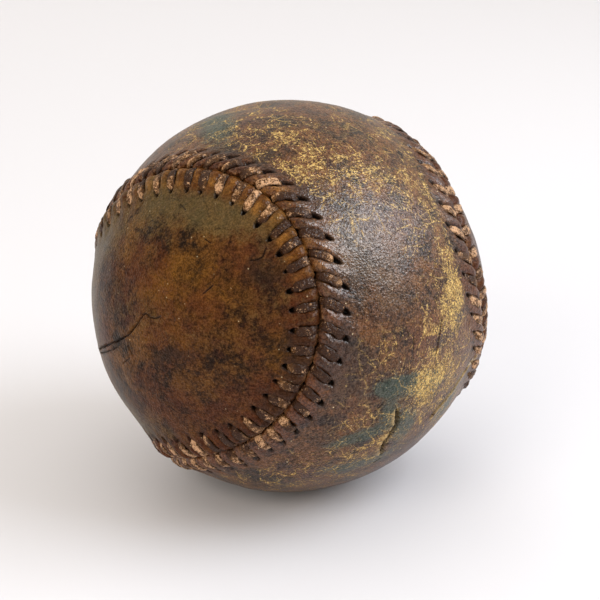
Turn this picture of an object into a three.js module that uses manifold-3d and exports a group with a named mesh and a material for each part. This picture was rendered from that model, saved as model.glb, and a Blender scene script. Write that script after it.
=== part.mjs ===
// Laced leather medicine ball, 254 mm across, resting on its own weight.
// Units are millimetres, +Z is up, and the origin is the centre of the flat patch it rests on.
//
// Two figure-eight leather panels meet along one closed seam, like the cover of a baseball.
// A flat leather thong, in four spliced lengths, is laced through punched slots on both sides of
// the seam. Under the leather are a canvas lining of the same two shapes, whipped shut with
// thread, two wads of hair packing, and a bundle of rags bound with twine.

import * as THREE from 'three';
import { mergeVertices } from 'three/addons/utils/BufferGeometryUtils.js';
import Module from 'manifold-3d';

const wasm = await Module();
wasm.setup();

// Whole ball
const BALL_RADIUS = 127;
const REST_FLAT_DEPTH = 3.2;
const REST_PAD_RADIUS = 27;
const CENTRE_HEIGHT = BALL_RADIUS - REST_FLAT_DEPTH;

// Leather cover
const LEATHER_THICKNESS = 3;
const SEAM_GAP = 5;
const COVER_RIBS = 30;
const COVER_CELLS_ACROSS = 9;

// Seam line on the unit ball: how much the figure-eight swings, and how far the hand-cut edge
// wanders off the ideal line (in radians)
const SEAM = { lobe: 0.465, pole: 0.824, lobeTrim: 0.058, poleTrim: 0.011 };
const SEAM_WANDER = { once: 0.024, twiceCos: -0.009, twiceSin: 0.010, thrice: -0.041 };
const BALL_TURN = new THREE.Euler(
  THREE.MathUtils.degToRad(51.9),
  THREE.MathUtils.degToRad(34.9),
  THREE.MathUtils.degToRad(-24.7),
  'XYZ',
);
const SEAM_SAMPLES = 2048;

// Lacing
const STITCHES = 100;
const LACE_LENGTHS = 4;
const FIRST_STITCH = 7;
const HOLE_OFFSET = 16;
const LACE_WIDTH = 5.5;
const PINCHED_WIDTH = 4.6;
const LACE_THICKNESS = 2;
const OVER_RADIUS = BALL_RADIUS + 1.9;
const UNDER_RADIUS = BALL_RADIUS - LEATHER_THICKNESS - 2.2;
const SLOT_WIDTH = LACE_WIDTH + 1.2;
const SLOT_BREADTH = LACE_THICKNESS + 1.4;
const SLOT_DEPTH = 5 * LEATHER_THICKNESS;
const SLANT_A = THREE.MathUtils.degToRad(10);
const SLANT_B = THREE.MathUtils.degToRad(25);
const SLANT_B_SWING = THREE.MathUtils.degToRad(20);
const SLANT_B_PHASE = -2.25;

// Canvas lining and the thread that closes it
const LINING_RADIUS = 119.6;
const LINING_THICKNESS = 1.4;
const LINING_GAP = 3.4;
const LINING_RIBS = 26;
const LINING_CELLS_ACROSS = 5;
const THREAD_SIZE = 1.2;

// Packing and core
const PACKING_RADIUS = 115.3;
const PACKING_HOLLOW_RADIUS = 53;
const PACKING_SPLIT = 0.6;
const PACKING_SIDES = 20;
const CORE_RADIUS = 48;
const TWINE_SIZE = 2.4;
const TWINE_STEPS = 18;

const UP = new THREE.Vector3(0, 0, 1);
const SIDE_A = -1;
const SIDE_B = 1;

// ---------------------------------------------------------------- seam line

function idealSeam(t) {
  return new THREE.Vector3(
    Math.cos(t) + SEAM.lobe * Math.cos(3 * t) + SEAM.lobeTrim * Math.cos(5 * t),
    Math.sin(t) - SEAM.lobe * Math.sin(3 * t) + SEAM.lobeTrim * Math.sin(5 * t),
    SEAM.pole * Math.sin(2 * t) + SEAM.poleTrim * Math.sin(6 * t),
  ).normalize();
}

function seamDirection(t) {
  const step = 1e-3;
  const here = idealSeam(t);
  const along = idealSeam(t + step).sub(idealSeam(t - step)).normalize();
  const side = new THREE.Vector3().crossVectors(here, along);
  const wander = SEAM_WANDER.once * Math.sin(t) + SEAM_WANDER.thrice * Math.sin(3 * t)
    + SEAM_WANDER.twiceCos * Math.cos(2 * t) + SEAM_WANDER.twiceSin * Math.sin(2 * t);
  return here.addScaledVector(side, wander).normalize().applyEuler(BALL_TURN);
}

// Running length of the seam on the unit ball, sampled evenly in t
const seamLength = [0];
for (let i = 1; i <= SEAM_SAMPLES; i += 1) {
  const from = seamDirection(2 * Math.PI * (i - 1) / SEAM_SAMPLES);
  const to = seamDirection(2 * Math.PI * i / SEAM_SAMPLES);
  seamLength.push(seamLength[i - 1] + from.distanceTo(to));
}
const WHOLE_SEAM = seamLength[SEAM_SAMPLES];

// Fraction of the seam's length reached at parameter t, for t from 0 to 2 pi
function fractionAt(t) {
  const place = t / (2 * Math.PI) * SEAM_SAMPLES;
  const low = Math.min(SEAM_SAMPLES - 1, Math.floor(place));
  const share = place - low;
  return (seamLength[low] * (1 - share) + seamLength[low + 1] * share) / WHOLE_SEAM;
}

function parameterAt(fraction) {
  const turns = Math.floor(fraction);
  const goal = (fraction - turns) * WHOLE_SEAM;
  let low = 0;
  let high = SEAM_SAMPLES;
  while (high - low > 1) {
    const middle = (low + high) >> 1;
    if (seamLength[middle] <= goal) low = middle;
    else high = middle;
  }
  const share = (goal - seamLength[low]) / (seamLength[high] - seamLength[low]);
  return 2 * Math.PI * ((low + share) / SEAM_SAMPLES + turns);
}

// A frame on the seam: outward, along the seam, and across it towards panel B
function seamFrame(fraction) {
  const t = parameterAt(fraction);
  const step = 2e-3;
  const out = seamDirection(t);
  const along = seamDirection(t + step).sub(seamDirection(t - step));
  along.addScaledVector(out, -along.dot(out)).normalize();
  const across = new THREE.Vector3().crossVectors(out, along);
  return { t, out, along, across };
}

// The direction reached from a seam frame by going `across` and `along` millimetres on the cover
function stepOff(frame, across, along = 0) {
  return frame.out.clone()
    .addScaledVector(frame.across, across / BALL_RADIUS)
    .addScaledVector(frame.along, along / BALL_RADIUS)
    .normalize();
}

// ---------------------------------------------------------------- mesh helpers

function signedVolume(points, faces) {
  let volume = 0;
  for (const [a, b, c] of faces) {
    volume += points[a].dot(new THREE.Vector3().crossVectors(points[b], points[c])) / 6;
  }
  return volume;
}

function closedGeometry(points, faces) {
  const outward = signedVolume(points, faces) > 0;
  const geometry = new THREE.BufferGeometry();
  geometry.setAttribute('position', new THREE.Float32BufferAttribute(
    points.flatMap((point) => [point.x, point.y, point.z]),
    3,
  ));
  geometry.setIndex(faces.flatMap(([a, b, c]) => (outward ? [a, b, c] : [a, c, b])));
  return geometry;
}

function toManifold(geometry) {
  const bare = geometry.clone();
  bare.deleteAttribute('normal');
  bare.deleteAttribute('uv');
  const merged = mergeVertices(bare, 1e-4);
  return new wasm.Manifold(new wasm.Mesh({
    numProp: 3,
    vertProperties: new Float32Array(merged.attributes.position.array),
    triVerts: new Uint32Array(merged.index.array),
  }));
}

function fromManifold(solid) {
  const mesh = solid.getMesh();
  const geometry = new THREE.BufferGeometry();
  geometry.setAttribute('position', new THREE.Float32BufferAttribute(mesh.vertProperties, 3));
  geometry.setIndex(Array.from(mesh.triVerts));
  return geometry;
}

// Joins boxes given as { centre, axes: [x, y, z], half: [hx, hy, hz] } into one geometry
function boxes(list) {
  const points = [];
  const faces = [];
  const corners = [[0, 2, 1], [1, 2, 3], [4, 5, 6], [5, 7, 6], [0, 1, 4], [1, 5, 4],
    [2, 6, 3], [3, 6, 7], [0, 4, 2], [2, 4, 6], [1, 3, 5], [3, 7, 5]];
  for (const { centre, axes, half } of list) {
    const first = points.length;
    for (let corner = 0; corner < 8; corner += 1) {
      const point = centre.clone();
      axes.forEach((axis, i) => {
        point.addScaledVector(axis, (corner >> i) & 1 ? half[i] : -half[i]);
      });
      points.push(point);
    }
    corners.forEach((face) => faces.push(face.map((corner) => corner + first)));
  }
  return closedGeometry(points, faces);
}

// Skins a run of four-cornered rings; a closed run joins its last ring to its first
function skinRings(rings, closed) {
  const points = rings.flat();
  const faces = [];
  const spans = closed ? rings.length : rings.length - 1;
  for (let i = 0; i < spans; i += 1) {
    const near = 4 * i;
    const far = 4 * ((i + 1) % rings.length);
    for (let corner = 0; corner < 4; corner += 1) {
      const next = (corner + 1) % 4;
      faces.push([near + corner, near + next, far + next]);
      faces.push([near + corner, far + next, far + corner]);
    }
  }
  if (!closed) {
    const last = points.length - 4;
    faces.push([0, 2, 1], [0, 3, 2], [last, last + 1, last + 2], [last, last + 2, last + 3]);
  }
  return closedGeometry(points, faces);
}

// A four-cornered ring about a centre, from its half-width and half-thickness vectors
function ring(centre, halfWidth, halfThickness) {
  return [
    centre.clone().sub(halfWidth).sub(halfThickness),
    centre.clone().add(halfWidth).sub(halfThickness),
    centre.clone().add(halfWidth).add(halfThickness),
    centre.clone().sub(halfWidth).add(halfThickness),
  ];
}

function blendDirections(from, to, share) {
  const angle = from.angleTo(to);
  if (angle < 1e-6) return from.clone();
  return from.clone().multiplyScalar(Math.sin((1 - share) * angle))
    .addScaledVector(to, Math.sin(share * angle))
    .divideScalar(Math.sin(angle));
}

// ---------------------------------------------------------------- figure-eight panels

// A figure-eight shell bounded by the seam. Its two ends are the tips of its lobes, at seam
// parameters firstTip and secondTip, and ribs run across it between the two sides of the seam.
function figureEight({ firstTip, secondTip, side, radius, thickness, gap, ribs, cells }) {
  const start = fractionAt(firstTip);
  const forward = fractionAt(secondTip) - start;
  const directions = [];
  for (let i = 0; i <= ribs; i += 1) {
    const near = stepOff(seamFrame(start + forward * i / ribs), side * gap / 2);
    const far = stepOff(seamFrame(start - (1 - forward) * i / ribs), side * gap / 2);
    const tip = i === 0 || i === ribs;
    const row = tip ? [near] : [];
    for (let j = 0; !tip && j <= cells; j += 1) row.push(blendDirections(near, far, j / cells));
    directions.push(row);
  }
  const first = [];
  let count = 0;
  directions.forEach((row) => {
    first.push(count);
    count += row.length;
  });
  const all = directions.flat();
  const points = all.map((d) => d.clone().multiplyScalar(radius))
    .concat(all.map((d) => d.clone().multiplyScalar(radius - thickness)));
  const at = (i, j) => first[i] + Math.min(j, directions[i].length - 1);
  const faces = [];
  const addFace = (a, b, c) => {
    if (a !== b && b !== c && c !== a) faces.push([a, b, c]);
  };
  for (let i = 0; i < ribs; i += 1) {
    for (let j = 0; j < cells; j += 1) {
      const [a, b, c, d] = [at(i, j), at(i + 1, j), at(i + 1, j + 1), at(i, j + 1)];
      addFace(a, b, c);
      addFace(a, c, d);
      addFace(count + a, count + c, count + b);
      addFace(count + a, count + d, count + c);
    }
    for (const [a, b] of [[at(i + 1, 0), at(i, 0)], [at(i, cells), at(i + 1, cells)]]) {
      faces.push([a, b, count + b], [a, count + b, count + a]);
    }
  }
  return closedGeometry(points, faces);
}

const PANELS = {
  a: { side: SIDE_A, firstTip: 0.25 * Math.PI, secondTip: 1.25 * Math.PI },
  b: {
    side: SIDE_B,
    firstTip: 0.75 * Math.PI,
    secondTip: 1.75 * Math.PI,
    holdsRestPatch: true,
  },
};

// ---------------------------------------------------------------- lacing

// How far along the seam a strand leans between the seam and its hole, on one side
function lean(side, t) {
  const slant = side === SIDE_A
    ? SLANT_A
    : SLANT_B + SLANT_B_SWING * Math.sin(2 * (SLANT_B_PHASE - t));
  return HOLE_OFFSET * Math.tan(slant);
}

// One strand: where it crosses the seam, where its hole is, and the directions it needs.
// Strands are numbered in half stitches; even ones lie on panel A and odd ones on panel B.
function strand(halfStitch) {
  const side = halfStitch % 2 === 0 ? SIDE_A : SIDE_B;
  const crossing = seamFrame(halfStitch / (2 * STITCHES));
  const hole = stepOff(crossing, side * HOLE_OFFSET, lean(side, crossing.t));
  const inward = crossing.out.clone().sub(hole);
  inward.addScaledVector(hole, -inward.dot(hole)).normalize();
  const width = new THREE.Vector3().crossVectors(inward, hole).normalize();
  if (width.dot(crossing.along) < 0) width.negate();
  return { side, crossing, hole, inward, width };
}

// Slots punched in one panel, one for each strand that comes up through it
function slotCutter(side) {
  const list = [];
  for (let halfStitch = side === SIDE_A ? 0 : 1; halfStitch < 2 * STITCHES; halfStitch += 2) {
    const { hole, inward, width } = strand(halfStitch);
    list.push({
      centre: hole.clone().multiplyScalar(BALL_RADIUS - LEATHER_THICKNESS / 2),
      axes: [inward, width, hole],
      half: [SLOT_BREADTH / 2, SLOT_WIDTH / 2, SLOT_DEPTH / 2],
    });
  }
  return toManifold(boxes(list));
}

// One length of thong. Each strand comes up through its slot, lies over the leather to the seam,
// dives between the two edges and passes under the other panel to the next slot.
function laceGeometry(firstStrand, lastStrand) {
  const rings = [];
  for (let halfStitch = firstStrand; halfStitch <= lastStrand; halfStitch += 1) {
    const { side, crossing, hole, inward, width } = strand(halfStitch);
    const face = -side * LACE_THICKNESS / 2;
    const seamInward = crossing.across.clone().multiplyScalar(-side);
    const atHole = width.clone().multiplyScalar(LACE_WIDTH / 2);
    const atSeam = crossing.along.clone().multiplyScalar(PINCHED_WIDTH / 2);
    const corner = (direction, radius, halfWidth, up, into) => rings.push(ring(
      direction.clone().multiplyScalar(radius),
      halfWidth,
      up.multiplyScalar(face).addScaledVector(into, face),
    ));
    corner(hole, UNDER_RADIUS, atHole, hole.clone(), inward);
    corner(hole, OVER_RADIUS, atHole, hole.clone().negate(), inward);
    corner(crossing.out, OVER_RADIUS, atSeam, crossing.out.clone().negate(),
      seamInward.clone().negate());
    corner(crossing.out, UNDER_RADIUS, atSeam, crossing.out.clone().negate(),
      seamInward.clone().negate());
  }
  return skinRings(rings, false);
}

// ---------------------------------------------------------------- inside pieces

function threadGeometry() {
  const rings = [];
  const radius = LINING_RADIUS - LINING_THICKNESS / 2;
  const start = fractionAt(PANELS.a.firstTip);
  for (let i = 0; i < 2 * LINING_RIBS; i += 1) {
    const { out, across } = seamFrame(start + i / (2 * LINING_RIBS));
    rings.push(ring(
      out.clone().multiplyScalar(radius),
      across.clone().multiplyScalar(THREAD_SIZE / 2),
      out.clone().multiplyScalar(THREAD_SIZE / 2),
    ));
  }
  return skinRings(rings, true);
}

// Half of the hair packing, a thick bowl turned about the vertical; way is 1 above and -1 below
function packingGeometry(way) {
  const profile = [];
  const outerSteps = 7;
  const innerSteps = 5;
  for (let i = 0; i <= outerSteps; i += 1) {
    const angle = Math.PI / 2 * i / outerSteps;
    profile.push(new THREE.Vector2(
      i === outerSteps ? 0 : PACKING_RADIUS * Math.cos(angle),
      way * Math.max(PACKING_SPLIT / 2, PACKING_RADIUS * Math.sin(angle)),
    ));
  }
  for (let i = innerSteps; i >= 0; i -= 1) {
    const angle = Math.PI / 2 * i / innerSteps;
    profile.push(new THREE.Vector2(
      i === innerSteps ? 0 : PACKING_HOLLOW_RADIUS * Math.cos(angle),
      way * Math.max(PACKING_SPLIT / 2, PACKING_HOLLOW_RADIUS * Math.sin(angle)),
    ));
  }
  profile.push(profile[0].clone());
  const turned = new THREE.LatheGeometry(profile, PACKING_SIDES);
  turned.rotateX(Math.PI / 2);
  turned.deleteAttribute('normal');
  turned.deleteAttribute('uv');
  const merged = mergeVertices(turned, 1e-3);
  const position = merged.attributes.position;
  const points = [];
  for (let i = 0; i < position.count; i += 1) {
    points.push(new THREE.Vector3().fromBufferAttribute(position, i));
  }
  const faces = [];
  for (let i = 0; i < merged.index.count; i += 3) {
    const face = [0, 1, 2].map((corner) => merged.index.getX(i + corner));
    if (new Set(face).size === 3) faces.push(face);
  }
  return closedGeometry(points, faces);
}

// Three loops of twine round the core, joined where they cross
function twineGeometry() {
  const radius = CORE_RADIUS + TWINE_SIZE / 2 + 0.4;
  const loops = [new THREE.Vector3(1, 0, 0), new THREE.Vector3(0, 1, 0), UP].map((axis) => {
    const first = Math.abs(axis.z) > 0.5 ? new THREE.Vector3(1, 0, 0) : UP.clone();
    const second = new THREE.Vector3().crossVectors(axis, first);
    const rings = [];
    for (let i = 0; i < TWINE_STEPS; i += 1) {
      const angle = 2 * Math.PI * (i + 0.5) / TWINE_STEPS;
      const out = first.clone().multiplyScalar(Math.cos(angle))
        .addScaledVector(second, Math.sin(angle));
      rings.push(ring(
        out.clone().multiplyScalar(radius / Math.cos(Math.PI / TWINE_STEPS)),
        axis.clone().multiplyScalar(TWINE_SIZE / 2),
        out.clone().multiplyScalar(TWINE_SIZE / 2),
      ));
    }
    return toManifold(skinRings(rings, true));
  });
  return fromManifold(loops[0].add(loops[1]).add(loops[2]));
}

// ---------------------------------------------------------------- assembly

const MATERIALS = {
  darkLeather: { color: 0x51351f, roughness: 0.55, metalness: 0 },
  wornLeather: { color: 0x8a6e55, roughness: 0.5, metalness: 0 },
  lace: { color: 0x9a7354, roughness: 0.8, metalness: 0 },
  canvas: { color: 0xb9a684, roughness: 0.95, metalness: 0 },
  thread: { color: 0xd8cba8, roughness: 0.9, metalness: 0 },
  hair: { color: 0x3b2d22, roughness: 1, metalness: 0 },
  rag: { color: 0x8c8576, roughness: 1, metalness: 0 },
  twine: { color: 0xa88a58, roughness: 0.9, metalness: 0 },
};

const ball = new THREE.Group();
ball.position.z = CENTRE_HEIGHT;

function addPiece(name, geometry, material) {
  const mesh = new THREE.Mesh(geometry, new THREE.MeshStandardMaterial(MATERIALS[material]));
  mesh.name = name;
  ball.add(mesh);
}

// Everything below the floor plane, which flattens the leather where the ball rests
const belowFloor = toManifold(boxes([{
  centre: new THREE.Vector3(0, 0, -2 * BALL_RADIUS - CENTRE_HEIGHT),
  axes: [new THREE.Vector3(1, 0, 0), new THREE.Vector3(0, 1, 0), UP],
  half: [2 * BALL_RADIUS, 2 * BALL_RADIUS, 2 * BALL_RADIUS],
}]));

// The leather pushed up inside the shell where the ball's weight presses it flat
function restPad() {
  const height = LEATHER_THICKNESS + 1;
  const pad = new THREE.CylinderGeometry(REST_PAD_RADIUS, REST_PAD_RADIUS, height, 32);
  pad.rotateX(Math.PI / 2);
  pad.translate(0, 0, LEATHER_THICKNESS - height / 2 - CENTRE_HEIGHT);
  return toManifold(pad);
}

function coverPanel(panel) {
  const shell = toManifold(figureEight({
    ...panel,
    radius: BALL_RADIUS,
    thickness: LEATHER_THICKNESS,
    gap: SEAM_GAP,
    ribs: COVER_RIBS,
    cells: COVER_CELLS_ACROSS,
  }));
  const laced = shell.subtract(slotCutter(panel.side));
  const settled = panel.holdsRestPatch ? laced.add(restPad()) : laced;
  return fromManifold(settled.subtract(belowFloor));
}

function liningPanel(panel) {
  return figureEight({
    ...panel,
    radius: LINING_RADIUS,
    thickness: LINING_THICKNESS,
    gap: LINING_GAP,
    ribs: LINING_RIBS,
    cells: LINING_CELLS_ACROSS,
  });
}

addPiece('cover_panel_a', coverPanel(PANELS.a), 'darkLeather');
addPiece('cover_panel_b', coverPanel(PANELS.b), 'wornLeather');

const strandsPerLength = 2 * STITCHES / LACE_LENGTHS;
for (let i = 0; i < LACE_LENGTHS; i += 1) {
  const first = 2 * FIRST_STITCH + i * strandsPerLength;
  addPiece(`seam_lace_${i + 1}`, laceGeometry(first, first + strandsPerLength - 1), 'lace');
}

addPiece('lining_panel_a', liningPanel(PANELS.a), 'canvas');
addPiece('lining_panel_b', liningPanel(PANELS.b), 'canvas');
addPiece('lining_thread', threadGeometry(), 'thread');
addPiece('packing_upper', packingGeometry(1), 'hair');
addPiece('packing_lower', packingGeometry(-1), 'hair');
addPiece('core_bundle', new THREE.SphereGeometry(CORE_RADIUS, 16, 8), 'rag');
addPiece('core_twine', twineGeometry(), 'twine');

export default ball;
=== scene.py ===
import math

import bmesh
import bpy
import numpy as np
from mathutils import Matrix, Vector, kdtree


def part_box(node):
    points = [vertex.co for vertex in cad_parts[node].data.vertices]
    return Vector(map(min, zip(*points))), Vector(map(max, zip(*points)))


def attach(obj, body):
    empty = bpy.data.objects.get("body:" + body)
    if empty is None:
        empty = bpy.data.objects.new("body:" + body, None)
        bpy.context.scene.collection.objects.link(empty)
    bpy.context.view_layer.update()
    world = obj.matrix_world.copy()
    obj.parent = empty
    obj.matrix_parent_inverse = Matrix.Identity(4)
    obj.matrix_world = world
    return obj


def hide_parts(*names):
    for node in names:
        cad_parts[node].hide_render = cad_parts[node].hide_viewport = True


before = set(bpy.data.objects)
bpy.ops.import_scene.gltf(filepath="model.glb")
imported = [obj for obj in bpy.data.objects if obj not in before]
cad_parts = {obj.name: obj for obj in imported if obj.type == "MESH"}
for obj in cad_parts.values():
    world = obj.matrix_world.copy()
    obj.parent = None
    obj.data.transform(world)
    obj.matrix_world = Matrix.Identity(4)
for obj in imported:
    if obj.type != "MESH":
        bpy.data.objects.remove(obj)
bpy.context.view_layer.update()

# Lengths are millimetres from the ball's centre until a mesh is made, which is in metres in the
# row frame. Places on the ball are an azimuth (0 faces -Y, 90 faces +X) and an elevation.
MM = 0.001
core_low, core_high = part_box("core_bundle")
CENTRE = (core_low + core_high) / 2
CENTRE_HEIGHT = CENTRE.z / MM
BALL_RADIUS = 127.0

# Seam line: the figure-eight's swing, its trims, and how far the hand-cut edge wanders (radians)
SEAM_LOBE, SEAM_POLE = 0.465, 0.824
LOBE_TRIM, POLE_TRIM = 0.058, 0.011
WANDER_ONCE, WANDER_THRICE = 0.024, -0.041
WANDER_TWICE_COS, WANDER_TWICE_SIN = -0.009, 0.010
BALL_TURN = (51.9, 34.9, -24.7)
SIDE_A, SIDE_B = -1, 1
# Seam parameter at the tip of one lobe of each panel
TIPS = {SIDE_A: 0.25 * math.pi, SIDE_B: 0.75 * math.pi}

# Lacing; slants in degrees, their phase in the seam's parameter
STITCHES = 100
LACE_LENGTHS = 4
FIRST_STITCH = 7
HOLE_OFFSET = 16.0
SLANT_A, SLANT_B, SLANT_B_SWING, SLANT_B_PHASE = 10.0, 25.0, 20.0, -2.25
CREEP = math.radians(5.5)
LACE_WIDTH, LACE_THICKNESS = 5.9, 2.3
LACE_SIDES = 16
# Height of the thong's runs under the panels, and the height below which its steps are coarse
LACE_UNDER, LACE_HIDDEN = -5.9, -3.5

# Leather panels
EDGE_DEPTH = 4.6
LIP_RADIUS = 1.2
COLUMNS = 1600
BAND_WIDTH = 36.0
CAP_CELLS, UNDERSIDE_CELLS = 68, 8
RELAXING_ROUNDS = 1500

rng = np.random.default_rng(1896)


# ---- noise and curves ----

def lattice_value(cells, seed):
    """A repeatable value from -1 to 1 for each whole-numbered cell."""
    mixed = cells[:, 0] * 73856093 ^ cells[:, 1] * 19349663 ^ cells[:, 2] * 83492791
    mixed = (mixed ^ seed * 2654435761) & 0xFFFFFFFF
    mixed = ((mixed ^ mixed >> 15) * 2246822519) & 0xFFFFFFFF
    mixed = ((mixed ^ mixed >> 13) * 3266489917) & 0xFFFFFFFF
    return (mixed ^ mixed >> 16) / 2 ** 31 - 1


def smooth_noise(points, seed):
    """Smooth noise from -1 to 1, with features about one unit across."""
    points = points + seed * 17.31
    base = np.floor(points)
    part = points - base
    fade = part ** 3 * (part * (part * 6 - 15) + 10)
    total = np.zeros(len(points))
    for corner in np.ndindex(2, 2, 2):
        share = np.prod(np.where(np.array(corner) == 1, fade, 1 - fade), axis=1)
        total += share * lattice_value(base.astype(np.int64) + corner, seed)
    return total


def noises(points, *parts):
    """The sum of smooth noises, each an amount, a fineness and a seed."""
    return sum(amount * smooth_noise(points * fineness, seed) for amount, fineness, seed in parts)


def layered_noise(points, seed):
    """Smooth noise with finer and weaker noise added to it."""
    return noises(points, (1, 1, seed), (1 / 2, 2, seed + 1), (1 / 4, 4, seed + 2))


def smoothstep(x, low, high):
    x = np.clip((x - low) / (high - low), 0, 1)
    return x * x * (3 - 2 * x)


def curve(x, stations, values):
    """A smooth line through the given values, level beyond both ends."""
    stations, values = np.array(stations, float), np.array(values, float)
    slopes = np.gradient(values, stations)
    slopes[0] = slopes[-1] = 0
    x = np.clip(x, stations[0], stations[-1])
    i = np.clip(np.searchsorted(stations, x, side="right") - 1, 0, len(stations) - 2)
    width = stations[i + 1] - stations[i]
    u = (x - stations[i]) / width
    return (values[i] * (1 + 2 * u) * (1 - u) ** 2 + slopes[i] * width * u * (1 - u) ** 2
            + values[i + 1] * u * u * (3 - 2 * u) + slopes[i + 1] * width * u * u * (u - 1))


def unit(vectors):
    return vectors / np.linalg.norm(vectors, axis=-1, keepdims=True)


def place(azimuth, elevation):
    """The unit direction at an azimuth and elevation in degrees."""
    a, e = math.radians(azimuth), math.radians(elevation)
    return np.array([math.sin(a) * math.cos(e), -math.cos(a) * math.cos(e), math.sin(e)])


def spot(directions, azimuth, elevation, wide, high, turn=0.0):
    """A soft oval spot, 1 in its middle; wide and high are its half-sizes in degrees."""
    middle = place(azimuth, elevation)
    east = unit(np.cross([0, 0, 1.0], middle))
    north = np.cross(middle, east)
    x, y = directions @ east, directions @ north
    c, s = math.cos(math.radians(turn)), math.sin(math.radians(turn))
    u = np.degrees(x * c + y * s) / wide
    v = np.degrees(y * c - x * s) / high
    return np.exp(-(u * u + v * v)) * (directions @ middle > 0)


# ---- seam ----

def turn_matrix():
    x, y, z = (math.radians(a) for a in BALL_TURN)
    about_x = np.array([[1, 0, 0], [0, math.cos(x), -math.sin(x)], [0, math.sin(x), math.cos(x)]])
    about_y = np.array([[math.cos(y), 0, math.sin(y)], [0, 1, 0], [-math.sin(y), 0, math.cos(y)]])
    about_z = np.array([[math.cos(z), -math.sin(z), 0], [math.sin(z), math.cos(z), 0], [0, 0, 1]])
    return about_x @ about_y @ about_z


def ideal_seam(t):
    return unit(np.stack([
        np.cos(t) + SEAM_LOBE * np.cos(3 * t) + LOBE_TRIM * np.cos(5 * t),
        np.sin(t) - SEAM_LOBE * np.sin(3 * t) + LOBE_TRIM * np.sin(5 * t),
        SEAM_POLE * np.sin(2 * t) + POLE_TRIM * np.sin(6 * t),
    ], -1))


def seam_direction(t):
    step = 1e-3
    here = ideal_seam(t)
    along = unit(ideal_seam(t + step) - ideal_seam(t - step))
    wander = (WANDER_ONCE * np.sin(t) + WANDER_THRICE * np.sin(3 * t)
              + WANDER_TWICE_COS * np.cos(2 * t) + WANDER_TWICE_SIN * np.sin(2 * t))
    return unit(here + wander[..., None] * np.cross(here, along)) @ turn_matrix().T


class Seam:
    """The closed line between the panels, measured in millimetres from parameter 0."""

    def __init__(self, samples=8192):
        self.t = np.linspace(0, 2 * math.pi, samples + 1)
        steps = np.linalg.norm(np.diff(seam_direction(self.t), axis=0), axis=1)
        self.s = np.concatenate([[0], np.cumsum(steps)]) * BALL_RADIUS
        self.length = self.s[-1]
        self.pitch = self.length / STITCHES
        self.tree = kdtree.KDTree(samples)
        self.out, self.along, self.across = self.frame(self.s[:-1])
        for i, direction in enumerate(self.out):
            self.tree.insert(direction, i)
        self.tree.balance()

    def parameter(self, s):
        return np.interp(np.mod(s, self.length), self.s, self.t)

    def frame(self, s):
        """(outward, along, across) unit directions at a place on the seam."""
        t, step = self.parameter(s), 2e-3
        out = seam_direction(t)
        along = seam_direction(t + step) - seam_direction(t - step)
        along = unit(along - out * np.sum(along * out, axis=-1, keepdims=True))
        return out, along, np.cross(out, along)

    def direction(self, s, across):
        """The direction reached from s by going square off the seam, towards B if positive."""
        out, _, over = self.frame(s)
        angle = (across / BALL_RADIUS)[:, None]
        return np.cos(angle) * out + np.sin(angle) * over

    def locate(self, directions):
        """(s, distance) of each direction, measured from the nearest point of the seam."""
        i = np.array([self.tree.find(d)[1] for d in directions])
        s = self.s[i] + np.sum(directions * self.along[i], axis=1) * BALL_RADIUS
        return s, np.arcsin(np.abs(np.sum(directions * self.across[i], axis=1))) * BALL_RADIUS


seam = Seam()


def lean(side, s):
    """How far a strand drifts along the seam by the time it reaches its hole."""
    if side == SIDE_A:
        return np.full(np.shape(s), HOLE_OFFSET * math.tan(math.radians(SLANT_A)))
    swing = np.sin(2 * (SLANT_B_PHASE - seam.parameter(s)))
    return HOLE_OFFSET * np.tan(np.radians(SLANT_B + SLANT_B_SWING * swing))


class StitchVariety:
    """Small differences from one stitch to the next, for one side of the seam, in millimetres
    but for the shift, in stitches, and the bulge, jut and hole size, which are factors."""

    def __init__(self):
        self.shift = rng.normal(0, 0.035, STITCHES)
        self.bulge = 1 + rng.normal(0, 0.10, STITCHES)
        self.hole = rng.normal(0, 0.45, STITCHES)
        self.jut = 1 + rng.normal(0, 0.25, STITCHES)
        self.lace_height = rng.normal(0, 0.18, STITCHES)
        self.hole_size = 1 + rng.normal(0, 0.12, STITCHES)
        self.sway = rng.normal(0, 0.48, STITCHES)


def sliding(values, u):
    """A stitch value at a running stitch number, sliding from one stitch to the next."""
    low = np.floor(u).astype(int)
    share = smoothstep(u - low, 0, 1)
    return values[low % STITCHES] * (1 - share) + values[(low + 1) % STITCHES] * share


variety = {SIDE_A: StitchVariety(), SIDE_B: StitchVariety()}


def swell(s, middle, reach):
    """A soft rise along the seam, 1 at its middle."""
    return np.exp(-((s - middle) / reach) ** 2)


def stitch_shift(side, s):
    """How far the hand-spaced stitches run ahead of even spacing, in stitches."""
    wide_spacing = 0.32 * swell(s, 245, 60) - 0.57 * swell(s, 110, 60)
    if side == SIDE_A:
        return 0.40 * swell(s, 880, 85) - 0.12 + wide_spacing
    return 0.56 * swell(s, 876, 70) + 0.02 + wide_spacing


def fullness(side, s):
    """How plump the tongues are along the seam; they lie flat where the lacing is slack."""
    s = s % seam.length
    if side == SIDE_A:
        return 0.97 + 0.10 * swell(s, 880, 120)
    return 0.75 + 0.25 * swell(s, 890, 110) + 0.20 * swell(s, 170, 90)


def hole_distance(side, s):
    """How far off the seam the punched holes lie; the punched line wanders."""
    if side == SIDE_A:
        return 16.3 - 1.8 * swell(s, 895, 50) + 2.0 * swell(s, 1020, 30)
    return 14.6 - 2.4 * swell(s, 728, 32) + 2.4 * swell(s, 845, 40)


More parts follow.
